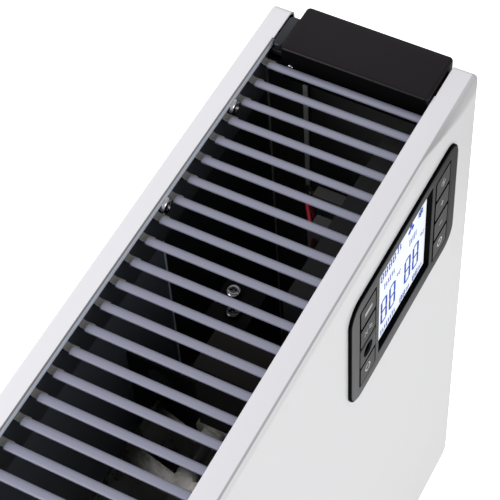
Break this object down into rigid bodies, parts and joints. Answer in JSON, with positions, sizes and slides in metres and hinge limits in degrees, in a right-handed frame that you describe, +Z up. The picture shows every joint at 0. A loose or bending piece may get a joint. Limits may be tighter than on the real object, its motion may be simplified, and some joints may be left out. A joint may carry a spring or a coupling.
{
  "type": "fan heater",
  "caption": "Low free-standing fan heater with folded steel shells, a slatted outlet grille along the top, black end caps and a display with keys on the front.",
  "frame": {"origin": "on the floor, at the centre of the bounding box", "axes": "+X along the body to the end with the display, -Y out of the front face, +Z up"},
  "size_m": [0.6018, 0.216, 0.397],
  "materials": {
    "white_paint": "satin",
    "slat_paint": "satin",
    "black_plastic": "satin",
    "foot_plastic": "matte",
    "rubber": "matte",
    "zinc_steel": "satin",
    "screw_steel": "polished",
    "bezel_black": "glossy",
    "bezel_grey": "satin",
    "key_grey": "satin",
    "window_glass": "glossy",
    "display_white": "glossy",
    "smoked_plastic": "glossy",
    "board_green": "satin",
    "switch_grey": "matte",
    "housing_grey": "matte",
    "relay_blue": "satin",
    "ivory_plastic": "satin",
    "element_alu": "satin",
    "ceramic": "matte",
    "rotor_alu": "satin",
    "motor_metal": "satin",
    "bronze": "satin",
    "red_cover": "satin",
    "black_cover": "satin"
  },
  "bodies": {
    "heater": {"front_shell": "white_paint", "rear_shell": "white_paint", "top_grille": "slat_paint", "bottom_plate": "zinc_steel", "right_end_cap": "black_plastic", "left_end_cap": "black_plastic", "right_end_frame": "zinc_steel", "left_end_frame": "zinc_steel", "right_foot": "foot_plastic", "left_foot": "foot_plastic", "foot_pads": "rubber", "foot_screws": "screw_steel", "grille_screws": "screw_steel", "cap_screws": "screw_steel", "shell_screws": "screw_steel", "bezel_frame": "bezel_black", "bezel_face": "bezel_grey", "display_lens": "window_glass", "display_module": "display_white", "receiver_cell": "key_grey", "receiver_lens": "smoked_plastic", "control_board": "board_green", "key_switches": "switch_grey", "control_housing": "housing_grey", "control_partition": "zinc_steel", "partition_screws": "screw_steel", "power_board": "board_green", "relays": "relay_blue", "lead_connector": "ivory_plastic", "room_sensor": "black_plastic", "terminal_block": "ivory_plastic", "cord_gland": "black_plastic", "tip_switch": "ivory_plastic", "rear_heat_shield": "zinc_steel", "front_heat_shield": "zinc_steel", "heating_element": "element_alu", "element_brackets": "zinc_steel", "element_bushes": "ceramic", "thermal_cutout": "black_plastic", "fan_scroll": "zinc_steel", "fan_motor": "motor_metal", "fan_bearing": "bronze", "red_lead": "red_cover", "black_lead": "black_cover"},
    "key_light": {"key_light": "key_grey"},
    "key_mode": {"key_mode": "key_grey"},
    "key_power": {"key_power": "key_grey"},
    "key_heat": {"key_heat": "key_grey"},
    "key_up": {"key_up": "key_grey"},
    "key_down": {"key_down": "key_grey"},
    "key_timer": {"key_timer": "key_grey"},
    "fan_rotor": {"fan_rotor": "rotor_alu"}
  },
  "joints": [
    {"name": "key_light_press", "type": "slide", "parent": "heater", "child": "key_light", "axis": [0, 1, 0], "range_m": [0, 0.0008], "stiffness_N_per_m": 600, "springref_m": -0.001},
    {"name": "key_mode_press", "type": "slide", "parent": "heater", "child": "key_mode", "axis": [0, 1, 0], "range_m": [0, 0.0008], "stiffness_N_per_m": 600, "springref_m": -0.001},
    {"name": "key_power_press", "type": "slide", "parent": "heater", "child": "key_power", "axis": [0, 1, 0], "range_m": [0, 0.0008], "stiffness_N_per_m": 600, "springref_m": -0.001},
    {"name": "key_heat_press", "type": "slide", "parent": "heater", "child": "key_heat", "axis": [0, 1, 0], "range_m": [0, 0.0008], "stiffness_N_per_m": 600, "springref_m": -0.001},
    {"name": "key_up_press", "type": "slide", "parent": "heater", "child": "key_up", "axis": [0, 1, 0], "range_m": [0, 0.0008], "stiffness_N_per_m": 600, "springref_m": -0.001},
    {"name": "key_down_press", "type": "slide", "parent": "heater", "child": "key_down", "axis": [0, 1, 0], "range_m": [0, 0.0008], "stiffness_N_per_m": 600, "springref_m": -0.001},
    {"name": "key_timer_press", "type": "slide", "parent": "heater", "child": "key_timer", "axis": [0, 1, 0], "range_m": [0, 0.0008], "stiffness_N_per_m": 600, "springref_m": -0.001},
    {"name": "fan_spin", "type": "hinge", "parent": "heater", "child": "fan_rotor", "pos_m": [0, 0.002, 0.088], "axis": [1, 0, 0], "continuous": true}
  ]
}
